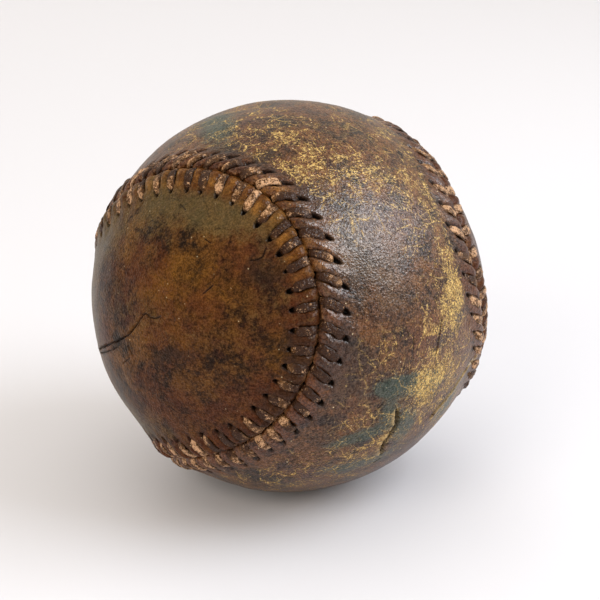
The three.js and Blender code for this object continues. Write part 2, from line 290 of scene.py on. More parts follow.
def stitch_number(side, s, d):
    """Running number that is whole on each strand's centre line, at a distance d off the seam."""
    drift = np.clip(d, 0, 20) / HOLE_OFFSET
    start = s - lean(side, s) * drift
    start = s - lean(side, start) * drift
    half = 0.5 if side == SIDE_B else 0
    u = start / seam.pitch - half - stitch_shift(side, start % seam.length)
    return u + sliding(variety[side].shift, u)


def strand_start(side, number):
    """Where along the seam a strand meets it: the place whose stitch number is whole."""
    even = (number + (0.5 if side == SIDE_B else 0)) * seam.pitch
    s = even
    for _ in range(4):
        shift = stitch_shift(side, s % seam.length) - variety[side].shift[number % STITCHES]
        s = even + float(shift) * seam.pitch
    return s


# ---- leather relief ----

def ridge_height(d):
    """The broad swelling of both panels along the seam."""
    return curve(d, [0, 4, 12, 20, 30], [0.9, 0.9, 0.8, 0.4, 0])


def channel_height(d):
    """The channel that a strand has pressed into the leather."""
    return curve(d, [0, 1, 3, 6, 10, 13, 16, 20], [-2.0, -1.3, -0.8, -0.6, -0.7, -0.9, -0.6, 0])


def crest_height(d):
    """The tongue of leather that bulges up between two strands."""
    return curve(d, [-0.5, 0.4, 1.5, 3, 5, 8, 11, 14, 17, 21, 26],
                 [-1.3, 0.2, 1.4, 2.5, 3.0, 2.9, 2.2, 1.3, 0.6, 0.2, 0])


def tongue(side, s, d):
    """1 on the crest of the leather between two strands and 0 under a strand, and the stitch
    number that it was worked out from."""
    u = stitch_number(side, s, d)
    x = (u - np.floor(u) - 0.5) / curve(d, [0, 4, 12, 20], [0.37, 0.36, 0.35, 0.75])
    return np.clip(1 - x * x, 0, 1) ** 0.55, u


def panel_edge(side, s):
    """How far the panel's cut edge lies from the seam line: it juts out on each tongue."""
    rise, u = tongue(side, s, np.zeros(len(s)))
    jut = 2.9 * sliding(variety[side].jut, u - 0.5)
    out = seam.frame(s)[0]
    wander = noises(out, (1, 9, 23), (0.5, 24, 24))
    ragged = 0.3 * smooth_noise(out * 60, 25 + side)
    return 2.0 - jut * rise + side * 0.8 * wander + ragged


def hole_pit(side, u, e):
    """(depth, rim, shade) of the punched holes at the strands' outer ends."""
    whole = np.round(u)
    number = whole.astype(int) % STITCHES
    middle = HOLE_OFFSET + variety[side].hole[number]
    half_long, half_wide = (2.7, 1.8) if side == SIDE_B else (2.2, 1.75)
    size = variety[side].hole_size[number]
    x = (u - whole) * seam.pitch / (half_wide * size)
    y = (e - middle) / (half_long * size)
    x = x * (1 + 0.25 * np.clip(y, -1, 1))
    r = np.sqrt(x * x + y * y)
    depth = 4.0 * np.clip(1 - r ** 3, 0, 1) ** 0.5
    rim = 0.35 * np.exp(-((r - 1.35) / 0.35) ** 2)
    shade = smoothstep(r, 1.5, 0.8)
    return depth, rim, shade


def body_shape(directions):
    """Slow lumps of the packing under the leather."""
    return noises(directions, (1.1, 1.7, 11), (0.5, 4.5, 12), (0.22, 11, 13))


def leather_height(side, directions, s, d):
    """Height of the leather over the ball's radius, and the masks its material reads."""
    e = d * HOLE_OFFSET / hole_distance(side, s % seam.length)
    rise, u = tongue(side, s, e)
    bulge = sliding(variety[side].bulge, u - 0.5)
    height = ridge_height(d) + channel_height(e)
    height = height + (crest_height(e) * bulge * fullness(side, s) - channel_height(e)) * rise
    depth, rim, shade = hole_pit(side, u, e)
    dimple = np.exp(-((e - 19) / 4) ** 2) * 0.3 * np.cos(2 * math.pi * u)
    rough = noises(directions, (0.12, 60, 21), (0.08, 130, 22))
    near = smoothstep(d, 26, 8)
    height = height + rim - depth - dimple + rough * (0.4 + near)
    # The hole mask is painted shade in the punched holes.
    masks = {"tongue": rise * smoothstep(e, 22, 11), "hole": shade, "seam_distance": e}
    return height, masks


# ---- cracks and tears ----

class Split:
    """A crack, cut or lifted edge in the leather, along a line of (azimuth, elevation) places."""

    def __init__(self, places, width, depth, lift=0.0):
        self.line = self.smooth(np.array([place(*p) for p in places]))
        self.width, self.depth, self.lift = width, depth, lift

    def smooth(self, points):
        """Rounds the corners of an open line."""
        for _ in range(4):
            quarter = points[:-1] * 0.75 + points[1:] * 0.25
            three = points[:-1] * 0.25 + points[1:] * 0.75
            inner = np.stack([quarter, three], 1).reshape(-1, 3)
            points = np.concatenate([points[:1], inner, points[-1:]])
        return unit(points)

    def measure(self, directions):
        """(signed distance in millimetres, share of the length) to the line."""
        signed = np.full(len(directions), 1e9)
        share = np.zeros(len(directions))
        spans = len(self.line) - 1
        for i in range(spans):
            a, b = self.line[i], self.line[i + 1]
            ab = b - a
            v = np.clip((directions - a) @ ab / (ab @ ab), 0, 1)
            away = directions - (a + v[:, None] * ab)
            distance = np.linalg.norm(away, axis=1)
            closer = distance < np.abs(signed)
            signed = np.where(closer, distance * np.sign(away @ np.cross(a, ab)), signed)
            share = np.where(closer, (i + v) / spans, share)
        return signed * BALL_RADIUS, share

    def apply(self, directions):
        """(height change, dark mask, bare mask) on the given directions."""
        signed, share = self.measure(directions)
        wobble = noises(directions, (0.6, 90, 31), (0.3, 220, 32), (0.9, 30, 33))
        x = signed + wobble * min(1.0, self.width)
        taper = np.sqrt(np.clip(np.minimum(share, 1 - share) * 5, 0, 1))
        width = self.width * (0.35 + 0.65 * taper)
        groove = np.exp(-(x / width) ** 4)
        lifted = np.exp(-(x / np.where(x > 0, 3.2, 1.2)) ** 2)
        height = (self.lift * lifted * (1 - groove) - self.depth * groove) * taper
        bare = np.clip(lifted * taper * max(0.0, self.lift - 0.4) * 2.6, 0, 1)
        return height, groove * taper, bare


SPLITS = {
    SIDE_A: [
        Split([(-84, -15), (-66, -6), (-52, 1.7), (-47.7, 6.4), (-44.3, 11.5)], 0.55, 1.8, 0.35),
        Split([(-78, -13), (-64, -7), (-56, -2.4)], 0.4, 1.2, 0.2),
        Split([(-44.3, 11.5), (-42, 10.2), (-38.4, 11.7)], 0.4, 1.0, 0.2),
        Split([(-51, 0), (-48.5, -3)], 0.3, 0.7),
        Split([(-54, -7), (-50, -3.6)], 0.3, 0.7),
        Split([(-25.5, 20.5), (-22.5, 23.5)], 0.35, 0.9),
        Split([(-29, 35.5), (-26, 34.5)], 0.35, 0.8),
        Split([(-45, 43), (-41, 42)], 0.35, 0.8),
        Split([(-12, 31), (-8, 32), (-7, 35)], 0.35, 0.9, 0.3),
    ],
    SIDE_B: [
        Split([(33.6, -34.5), (32.6, -30.9), (32.1, -27.6), (32.9, -24.9), (34.2, -22),
               (33.9, -18.9), (33, -15)], 1.8, 3.4, 1.6),
        Split([(28, -11), (26, -13.5)], 0.35, 0.8),
        Split([(35, -37), (33, -39)], 0.35, 0.8),
        Split([(72, -10), (64, -15), (56, -20), (51, -25)], 0.9, 2.2, 0.8),
        Split([(50, 9), (48, 4), (46, -2)], 0.5, 1.1, 0.2),
        Split([(37.8, 7), (37, 0)], 0.3, 0.7),
    ],
}


# ---- panel mesh ----

class Shell:
    """A panel's vertices, each with its direction, depth under the surface and seam place."""

    def __init__(self, side):
        self.side = side
        self.directions, self.drop, self.s, self.d = [], [], [], []
        self.faces = []
        self.count = 0

    def joined(self):
        """(directions, drop, s, d) of all the vertices so far."""
        return [np.concatenate(part) for part in (self.directions, self.drop, self.s, self.d)]

    def add(self, directions, drop, s, d):
        self.directions.append(directions)
        self.drop.append(np.full(len(directions), drop))
        self.s.append(s)
        self.d.append(d)
        first = self.count
        self.count += len(directions)
        return np.arange(first, self.count)

    def add_row(self, reach, drop, columns):
        """A closed row round the panel, at a reach in from its cut edge."""
        s = np.arange(columns) * seam.length / columns
        d = reach + panel_edge(self.side, s) * smoothstep(np.full(columns, reach), 9, 0)
        return self.add(seam.direction(s, self.side * d), drop, s, d)

    def add_faces(self, faces, flip=False):
        if (self.side == SIDE_A) != flip:
            faces = faces[:, ::-1]
        self.faces.extend(faces.tolist())

    def join_rows(self, low, high, flip=False):
        """Faces between two rows; the second may have half the columns of the first."""
        if len(low) == len(high):
            self.add_faces(np.stack([low, np.roll(low, -1), np.roll(high, -1), high], 1), flip)
            return
        first, middle, last = low[0::2], low[1::2], np.roll(low[0::2], -1)
        following = np.roll(high, -1)
        for corners in ((first, middle, high), (middle, following, high),
                        (middle, last, following)):
            self.add_faces(np.stack(corners, 1), flip)

    def fill(self, ring, drop, caps, flip=False):
        """Fills a closed row with a grid whose two short sides lie across the lobes' tips."""
        count = len(ring)
        long_cells = count // 2 - caps
        tip = int(round(np.interp(TIPS[self.side], seam.t, seam.s) / seam.length * count))
        start = tip + caps // 2
        grid = np.full((long_cells + 1, caps + 1), -1)
        along, across = np.arange(long_cells + 1), np.arange(caps + 1)
        grid[:, 0] = ring[(start + along) % count]
        grid[-1, :] = ring[(start + long_cells + across) % count]
        grid[:, -1] = ring[(start + 2 * long_cells + caps - along) % count]
        grid[0, :] = ring[(start - across) % count]
        known = self.joined()[0]
        points = np.zeros(grid.shape + (3,))
        edge = grid >= 0
        points[edge] = known[grid[edge]]
        u = (along / long_cells)[:, None, None]
        v = (across / caps)[None, :, None]
        points = np.where(edge[..., None], points, (
            points[:, :1] * (1 - v) + points[:, -1:] * v
            + points[:1] * (1 - u) + points[-1:] * u
            - points[0, 0] * (1 - u) * (1 - v) - points[-1, 0] * u * (1 - v)
            - points[0, -1] * (1 - u) * v - points[-1, -1] * u * v))
        for _ in range(RELAXING_ROUNDS):
            mean = (points[:-2, 1:-1] + points[2:, 1:-1] + points[1:-1, :-2] + points[1:-1, 2:]) / 4
            points[1:-1, 1:-1] = unit(mean)
        inner = points[1:-1, 1:-1].reshape(-1, 3)
        s, d = seam.locate(inner)
        grid[1:-1, 1:-1] = self.add(inner, drop, s, d).reshape(long_cells - 1, caps - 1)
        quads = np.stack([grid[:-1, :-1], grid[1:, :-1], grid[1:, 1:], grid[:-1, 1:]], -1)
        self.add_faces(quads.reshape(-1, 4), flip)

    def refine(self, lines, reach=4.0, cuts=2):
        """Divides the outer faces that lie near the given splits."""
        directions, drop, _, _ = self.joined()
        near = np.zeros(len(directions), bool)
        for line in lines:
            near |= np.abs(line.measure(directions)[0]) < reach
        near &= drop == 0
        work = bmesh.new()
        points = directions * (1 - drop / BALL_RADIUS)[:, None]
        verts = [work.verts.new(p) for p in points]
        for face in self.faces:
            work.faces.new([verts[i] for i in face])
        work.verts.index_update()
        chosen = [e for e in work.edges if near[e.verts[0].index] and near[e.verts[1].index]]
        bmesh.ops.subdivide_edges(work, edges=chosen, cuts=cuts, use_grid_fill=True)
        work.verts.index_update()
        added = unit(np.array([v.co for v in work.verts][len(points):]))
        s, d = seam.locate(added)
        self.add(added, 0.0, s, d)
        self.faces = [[v.index for v in face.verts] for face in work.faces]
        work.free()


def panel_rows():
    """(reach, drop, columns) of the outer rows, from the bottom of the cut edge inwards."""
    rows = [(0.0, drop, COLUMNS) for drop in (3.4, 2.2)]
    for angle in np.radians([90, 66, 42, 20]):
        reach, drop = LIP_RADIUS * (1 - math.sin(angle)), LIP_RADIUS * (1 - math.cos(angle))
        rows.append((reach, drop, COLUMNS))
    rows += [(reach, 0.0, COLUMNS) for reach in (1.2, 1.6, 2.1, 2.7, 3.4)]
    rows += [(reach, 0.0, COLUMNS) for reach in np.arange(4.1, 21.6, 0.75)]
    rows += [(reach, 0.0, COLUMNS // 2) for reach in np.linspace(23, BAND_WIDTH, 8)]
    return rows


def panel_shell(side):
    """The closed shell of one panel: its top, its cut edge and its flat underside."""
    shell = Shell(side)
    bottom = shell.add_row(0.0, EDGE_DEPTH, COLUMNS)
    row = bottom
    for reach, drop, columns in panel_rows():
        following = shell.add_row(reach, drop, columns)
        shell.join_rows(row, following)
        row = following
    shell.fill(row, 0.0, CAP_CELLS)
    row, columns = bottom, COLUMNS
    for reach in (2.0, 6.0, 14.0, 30.0):
        columns //= 2
        following = shell.add_row(reach, EDGE_DEPTH, columns)
        shell.join_rows(row, following, flip=True)
        row = following
    shell.fill(row, EDGE_DEPTH, UNDERSIDE_CELLS, flip=True)
    shell.refine(SPLITS[side])
    return shell


def creep(points):
    """Slow stretch of the cover: its right-hand seam has crept round toward the front."""
    turn = -CREEP * spot(unit(points), 76, 34, 26, 27)
    x = points[:, 0] * np.cos(turn) - points[:, 1] * np.sin(turn)
    y = points[:, 0] * np.sin(turn) + points[:, 1] * np.cos(turn)
    return np.stack([x, y, points[:, 2]], 1)


def settle(points, lift):
    """Presses points up from the floor where the ball's weight flattens it."""
    softness = 0.5
    over = (points[:, 2] + CENTRE_HEIGHT - lift) / softness
    points[:, 2] = np.logaddexp(over, 0) * softness - CENTRE_HEIGHT + lift
    return points


def panel_surface(shell):
    """Places in millimetres about the ball's centre, directions and masks of the vertices."""
    directions, drop, s, d = shell.joined()
    height, masks = leather_height(shell.side, directions, s, d)
    masks["split_shade"], masks["frayed"] = np.zeros(len(d)), np.zeros(len(d))
    for line in SPLITS[shell.side]:
        change, dark, bare = line.apply(directions)
        height = height + change
        # Painted shade in the cracks' grooves.
        masks["split_shade"] = np.maximum(masks["split_shade"], dark)
        masks["frayed"] = np.maximum(masks["frayed"], bare)
    # Paler panel edge: partly bare fibre and partly a painted highlight along the edge.
    masks["cut"] = np.exp(-((d - panel_edge(shell.side, s)) / 1.3) ** 2) * (drop < 0.6)
    keep = np.clip(1 - drop / EDGE_DEPTH, 0, 1)
    radius = BALL_RADIUS + body_shape(directions) - drop + height * keep
    return settle(creep(directions * radius[:, None]), drop), directions, masks


def add_object(name, data):
    made = bpy.data.objects.new(name, data)
    bpy.context.scene.collection.objects.link(made)
    return made


def make_mesh(name, points, faces, masks):
    """An object from points in millimetres about the ball's centre, with smooth shading."""
    mesh = bpy.data.meshes.new(name)
    vertices = points * MM + np.array(CENTRE)
    mesh.from_pydata(vertices.tolist(), [], faces)
    for mask, values in masks.items():
        layer = mesh.attributes.new(mask, "FLOAT", "POINT")
        layer.data.foreach_set("value", np.asarray(values, np.float32))
    mesh.polygons.foreach_set("use_smooth", np.ones(len(mesh.polygons), bool))
    mesh.update()
    return add_object(name, mesh)


# ---- colour zones ----

def spots(directions, places):
    """The sum of soft spots, each a strength and then the spot's place and half-sizes."""
    return sum(strength * spot(directions, *where) for strength, *where in places)


def zones_a(directions):
    """Where panel A is amber, dark or greyed, partly with painted sheen on its top and left rim and
    one painted lighter rim in its amber, and where its tongue crests get a painted highlight, about
    0 to 1.
    """
    none = np.zeros(len(directions))
    # The last amber spot is a painted rim light: it makes the left rim lighter and warmer.
    amber = 0.10 + 0.30 * layered_noise(directions * 5, 41) + 0.75 * spots(directions, [
        (1, -42, 17, 9, 8), (1, -44, 2, 10, 6, 20), (1, -24, 39, 9, 4), (1, -32, 26, 16, 7),
        (1, -7, 5, 8, 8), (1, -22, 12, 10, 8), (1, -66, 28, 8, 6), (1, -84, -8, 10, 32)])
    # Greyed leather, with painted sheen: the spots on the top and at the left rim make it lighter
    # where light catches it.
    grey_and_sheen = 0.35 * layered_noise(directions * 4, 43) + spots(directions, [
        (1.0, -37, 43, 16, 5), (0.8, -14, 43, 16, 6), (0.7, -60, 40, 14, 9),
        (1.3, -84, 0, 13, 40), (0.6, -55, -30, 20, 8)])
    dark = 0.35 * layered_noise(directions * 6, 44) + spots(directions, [
        (1.0, -8, 28, 8, 5), (0.7, -10, -18, 16, 9), (0.7, -67, 18, 5, 9), (0.8, -57, 10, 4, 5, 30),
        (0.9, -38, 0, 6, 3, 40), (0.9, -29, 3, 6, 4), (1.3, 4, 0, 8, 22)])
    # Painted highlight: tongue crests, mostly near the top of the ball where the light falls, are
    # made lighter.
    glow_highlight = spots(directions, [
        (1.0, -45, 52, 26, 12), (1.0, -12, 46, 18, 12), (0.8, 0, 38, 8, 9), (0.08, 8, 4, 6, 14)])
    return {"amber": amber, "grey_and_sheen": grey_and_sheen, "dark": dark, "gold": none, "teal": none,
            "glow_highlight": np.clip(glow_highlight, 0, 1)}


def zones_b(directions):
    """Where panel B is rubbed golden, stained, dark or greyed, with a painted sheen over the key
    light's highlight, and where its tongue crests get a painted highlight, about 0 to 1.
    """
    gold = 0.48 + 0.40 * layered_noise(directions * 4, 51) + 0.55 * spots(directions, [
        (1, 20, 60, 20, 6), (1, -28, 75, 22, 5), (1, 34, 53, 12, 5), (1, 62, 50, 14, 9),
        (1, 48, -12, 10, 9), (1, 60, 18, 6, 16, -20), (1, 55, 6, 8, 14, -30),
        (1, 47, 1, 5, 13, -35), (1, 41, -9, 8, 5), (1, 42, -15, 12, 4, 30),
        (1, 22, -31, 14, 5, 15), (1, 24, -17, 8, 3)])
    gold = gold - spots(directions, [(0.5, 28, 32, 11, 12), (0.4, 16, 6, 9, 22)])
    teal = spots(directions, [
        (0.85, -83, 69, 18, 7), (1.1, 29, -7, 6, 3), (1.2, 42, -9, 10, 4, -10),
        (1.1, 22, -23, 10, 3, 14), (0.8, 30, -15, 4, 4), (1.0, 38, -23, 5, 7),
        (0.9, 26, -37, 14, 4, 6), (0.8, 60, -22, 5, 10, -30), (0.7, 150, 30, 18, 7, 40),
        (0.7, -140, -20, 14, 8)])
    # Greyed leather, with painted sheen: the first spot lies over the key light's highlight.
    grey_and_sheen = 0.25 * layered_noise(directions * 4, 53) + spots(directions, [
        (0.9, 26, 36, 13, 14), (0.5, 33, 22, 12, 12)])
    dark = 0.4 * layered_noise(directions * 5, 54) + spots(directions, [
        (1.3, 14, 3, 9, 22), (0.7, 10, 49, 14, 5, -20), (0.6, 30, -2, 12, 8),
        (0.5, -30, 62, 20, 4)])
    amber = 0.40 + 0.3 * layered_noise(directions * 5, 55)
    # Painted highlight on the tongue crests near the top of the ball.
    glow_highlight = spots(directions, [(1.0, -3, 51, 9, 7), (0.6, 8, 36, 8, 10)])
    return {"amber": amber, "grey_and_sheen": grey_and_sheen, "dark": dark, "gold": gold, "teal": teal,
            "glow_highlight": np.clip(glow_highlight, 0, 1)}


# ---- lacing ----

def strand_controls(half_stitch):
    """(s, across, height) control points of one strand, from its hole to the seam."""
    side = SIDE_A if half_stitch % 2 == 0 else SIDE_B
    number = (half_stitch // 2) % STITCHES
    kinds = variety[side]
    s = strand_start(side, half_stitch // 2)
    drift = float(lean(side, np.array([s]))[0]) / HOLE_OFFSET
    hole = HOLE_OFFSET + kinds.hole[number]
    rise = kinds.lace_height[number]
    at_hole = [(hole - 0.3, -5.0), (hole - 0.5, -3.6), (hole - 1.1, -2.0),
               (hole - 2.3, -0.6 + rise / 2), (hole - 4.2, 0.6 + rise)]
    on_top = [(10.0, 1.4 + rise), (7.0, 1.6 + rise), (4.3, 1.4 + rise)]
    at_seam = [(2.7, 0.6 + rise / 2), (1.3, -1.5), (0.9, -3.6)]
    scale = float(hole_distance(side, s % seam.length)) / HOLE_OFFSET
    points = []
    for e, height in at_hole + on_top + at_seam:
        d = e * scale
        base = float(ridge_height(np.array([d]))[0]) if height > -2 else 0.0
        sway = kinds.sway[number] * math.sin(math.pi * min(1.0, e / hole))
        points.append((s + drift * d + sway, side * d, height + base))
    return points


def lace_controls(first, last):
    """Control points of a whole length of thong, with its runs under the panels."""
    points = strand_controls(first)
    for half_stitch in range(first + 1, last + 1):
        following = strand_controls(half_stitch)
        start, goal = np.array(points[-1]), np.array(following[0])
        for share in (0.08, 0.4, 0.7, 0.95):
            under = start + (goal - start) * share
            points.append((under[0], under[1], LACE_UNDER))
        points += following
    return np.array(points)


def resample(points, heights, on_top, hidden):
    """Even steps along a smooth curve through the points: fine on top and coarse underneath."""
    count = len(points)
    ends = np.concatenate([2 * points[:1] - points[1:2], points, 2 * points[-1:] - points[-2:-1]])
    made, owner = [], []
    for i in range(count - 1):
        a, b, c, d = ends[i:i + 4]
        length = np.linalg.norm(c - b)
        step = hidden if max(heights[i], heights[i + 1]) < LACE_HIDDEN else on_top
        steps = max(1, int(round(length / step)))
        for k in range(steps):
            u = k / steps
            made.append(0.5 * (2 * b + (c - a) * u + (2 * a - 5 * b + 4 * c - d) * u * u
                               + (3 * b - a - 3 * c + d) * u ** 3))
            owner.append(i + u)
    made.append(points[-1])
    owner.append(count - 1.0)
    return np.array(made), np.array(owner)


def lace_piece(index):
    """One length of thong as a closed sweep: over, down through the seam, and under."""
    per_length = 2 * STITCHES // LACE_LENGTHS
    first = 2 * FIRST_STITCH + index * per_length
    controls = lace_controls(first, first + per_length - 1)
    out = seam.direction(controls[:, 0], controls[:, 1])
    radius = BALL_RADIUS + controls[:, 2] + body_shape(out)
    centres, owner = resample(out * radius[:, None], controls[:, 2], on_top=0.75, hidden=3.0)
    tangent = unit(np.gradient(centres, axis=0))
    flat = unit(centres)
    low = np.clip(owner.astype(int), 0, len(controls) - 2)
    share = (owner - low)[:, None]
    level = np.gradient(controls[:, :2], axis=0)
    level = unit(level + 1e-9)
    level = level[low] * (1 - share) + level[low + 1] * share
    for _ in range(6):
        level[1:-1] = (level[:-2] + level[1:-1] + level[2:]) / 3
    _, along, across = seam.frame(np.interp(owner, np.arange(len(controls)), controls[:, 0]))
    heading = along * level[:, :1] + across * level[:, 1:2]
    width = np.cross(flat, heading)
    width = width * np.where(np.sum(width * along, axis=1) < 0, -1, 1)[:, None]
    width = unit(width - tangent * np.sum(width * tangent, axis=1, keepdims=True))
    thick = np.cross(width, tangent)
    height = np.interp(owner, np.arange(len(controls)), controls[:, 2])
    travel = np.concatenate([[0], np.cumsum(np.linalg.norm(np.diff(centres, axis=0), axis=1))])
    return sweep_lace(index, centres, width, thick, travel, height)


def sweep_lace(index, centres, width, thick, travel, height):
    """The thong's rounded, uneven, slightly twisted section swept along its centre line."""
    rings = len(centres)
    angle = 2 * math.pi * np.arange(LACE_SIDES) / LACE_SIDES
    x = np.sign(np.cos(angle)) * np.abs(np.cos(angle)) ** 0.55
    y = np.sign(np.sin(angle)) * np.abs(np.sin(angle)) ** 0.75
    pinch = smoothstep(height, -2.0, 0.6)
    along = np.stack([travel / 5, np.full(rings, index * 9.0), np.zeros(rings)], 1)
    half_wide = LACE_WIDTH / 2 * (0.66 + 0.34 * pinch) * (1 + 0.18 * smooth_noise(along, 61))
    half_thick = LACE_THICKNESS / 2 * (0.78 + 0.22 * pinch) * (1 + 0.12 * smooth_noise(along, 62))
    twist = 0.22 * smooth_noise(along * 0.5, 63) * pinch
    wide = width * np.cos(twist)[:, None] + thick * np.sin(twist)[:, None]
    deep = thick * np.cos(twist)[:, None] - width * np.sin(twist)[:, None]
    points = (centres[:, None] + wide[:, None] * (half_wide[:, None] * x)[..., None]
              + deep[:, None] * (half_thick[:, None] * y)[..., None])
    fibre = np.stack([np.repeat(travel / 2.2, LACE_SIDES), np.tile(x * 2.4, rings),
                      np.tile(y * 1.5 + index * 5, rings)], 1)
    rough = noises(fibre, (0.38, 1, 64), (0.24, 2.3, 65))
    points = points.reshape(-1, 3)
    normal = unit(points - np.repeat(centres, LACE_SIDES, axis=0))
    points = points + normal * rough[:, None]
    corner = np.arange(rings * LACE_SIDES).reshape(rings, LACE_SIDES)
    near, far = corner[:-1], corner[1:]
    quads = np.stack([near, far, np.roll(far, -1, 1), np.roll(near, -1, 1)], -1)
    faces = quads.reshape(-1, 4).tolist()
    faces += [corner[0].tolist(), corner[-1][::-1].tolist()]
    masks = {
        # Painted shade on the thong's sides: this mask darkens them.
        "edge": np.tile(np.abs(x), rings),
        # Painted shade where the thong dives under the leather.
        "sunk_shade": np.repeat(smoothstep(height, 0.4, -1.6), LACE_SIDES),
        "worn": lace_wear(unit(points)),
    }
    return settle(creep(points), 0.3), faces, masks


def lace_wear(directions):
    """Where the thong is rubbed pale, from 0 to 0.9."""
    worn = 0.35 + 0.55 * layered_noise(directions * 9, 71) + spots(directions, [
        (-0.8, 9, 6, 14, 24), (0.8, -9, 54, 5, 3), (0.4, -15, -42, 30, 10), (0.3, 80, 25, 20, 40),
        (0.15, -26, 47, 34, 9)])
    return np.clip(worn, 0, 0.9)


# ---- shader building ----

def srgb(red, green, blue):
    """A colour given as screen values from 0 to 255, as the linear colour shaders take."""
    def linear(value):
        value /= 255
        return value / 12.92 if value <= 0.04045 else ((value + 0.055) / 1.055) ** 2.4
    return (linear(red), linear(green), linear(blue), 1.0)


class Nodes:
    """The nodes of a material or a world, with one short call for each kind of node."""

    def __init__(self, owner):
        owner.use_nodes = True
        self.tree = owner.node_tree

    def node(self, kind, inputs=None, **settings):
        made = self.tree.nodes.new(kind)
        for key, value in settings.items():
            setattr(made, key, value)
        for key, value in (inputs or {}).items():
            self.feed(made.inputs[key], value)
        return made

    def feed(self, socket, value):
        if isinstance(value, bpy.types.NodeSocket):
            self.tree.links.new(value, socket)
        else:
            socket.default_value = value

    def math(self, operation, total, *others):
        for other in others:
            total = self.node("ShaderNodeMath", {0: total, 1: other}, operation=operation).outputs[0]
        return total

    def times(self, *values):
        return self.math("MULTIPLY", *values)

    def larger(self, *values):
        return self.math("MAXIMUM", *values)

    def vector(self, operation, a, b, output="Vector"):
        made = self.node("ShaderNodeVectorMath", {0: a, 1: b}, operation=operation)
        return made.outputs[output]

    def band(self, value, low, high, to_low=0.0, to_high=1.0):
        """The value carried smoothly from the range low..high to another range."""
        return self.node("ShaderNodeMapRange", {
            "Value": value, "From Min": low, "From Max": high, "To Min": to_low, "To Max": to_high},
            interpolation_type="SMOOTHSTEP").outputs["Result"]


class Shader(Nodes):
    """A node material for things that are textured in millimetres."""

    def __init__(self, name):
        self.material = bpy.data.materials.new(name)
        super().__init__(self.material)
        self.surface = self.tree.nodes["Principled BSDF"]
        self.position = self.node("ShaderNodeNewGeometry").outputs["Position"]

    def attribute(self, name):
        return self.node("ShaderNodeAttribute", attribute_name=name).outputs["Fac"]

    def scaled(self):
        """Position in millimetres."""
        return self.vector("MULTIPLY", self.position, (1 / MM,) * 3)

    def mixed(self, *parts):
        """The sum of (value, weight) pairs."""
        return self.math("ADD", *(self.times(value, weight) for value, weight in parts))

    def drawn_out(self, along, factor):
        """Position in millimetres, squeezed along a direction so that features grow long there."""
        position, along = self.scaled(), tuple(unit(np.array(along, float)))
        reach = self.vector("DOT_PRODUCT", position, along, "Value")
        back = self.vector("MULTIPLY", along, self.times(reach, 1 - 1 / factor))
        return self.vector("SUBTRACT", position, back)

    def noise(self, size, detail=4.0, roughness=0.55, distortion=0.0, vector=None):
        """Noise from 0 to 1, whose features are about size millimetres across."""
        return self.node("ShaderNodeTexNoise", {
            "Vector": vector or self.scaled(), "Scale": 1 / size, "Detail": detail,
            "Roughness": roughness, "Distortion": distortion}).outputs["Fac"]

    def cells(self, size, feature="F1", distort=0.0):
        """Distance to the points or edges of cells that are about size millimetres across."""
        position = self.scaled()
        if distort:
            cloud = self.node("ShaderNodeTexNoise", {
                "Vector": position, "Scale": 0.35 / size, "Detail": 3.0}).outputs["Color"]
            push = self.vector("MULTIPLY", cloud, (distort * size,) * 3)
            position = self.vector("ADD", position, push)
        return self.node("ShaderNodeTexVoronoi", {
            "Vector": position, "Scale": 1 / size}, feature=feature).outputs["Distance"]

    def blend(self, factor, first, second, mode="MIX"):
        made = self.node("ShaderNodeMix", data_type="RGBA", blend_type=mode)
        self.feed(made.inputs[0], factor)
        self.feed(made.inputs[6], first)
        self.feed(made.inputs[7], second)
        return made.outputs[2]

    def tint(self, colour, other, mask, strength=1.0):
        """The colour, turned to another one where the mask is 1."""
        return self.blend(self.times(mask, strength), colour, other)

    def bump(self, height, distance, under=None):
        """A bumped normal, from a height that spans a distance in millimetres."""
        inputs = {"Height": height, "Distance": distance * MM, "Strength": 1.0}
        if under is not None:
            inputs["Normal"] = under
        return self.node("ShaderNodeBump", inputs).outputs["Normal"]

    def finish(self, **inputs):
        for name, value in inputs.items():
            self.feed(self.surface.inputs[name.replace("_", " ")], value)
        return self.material


# ---- leather material ----

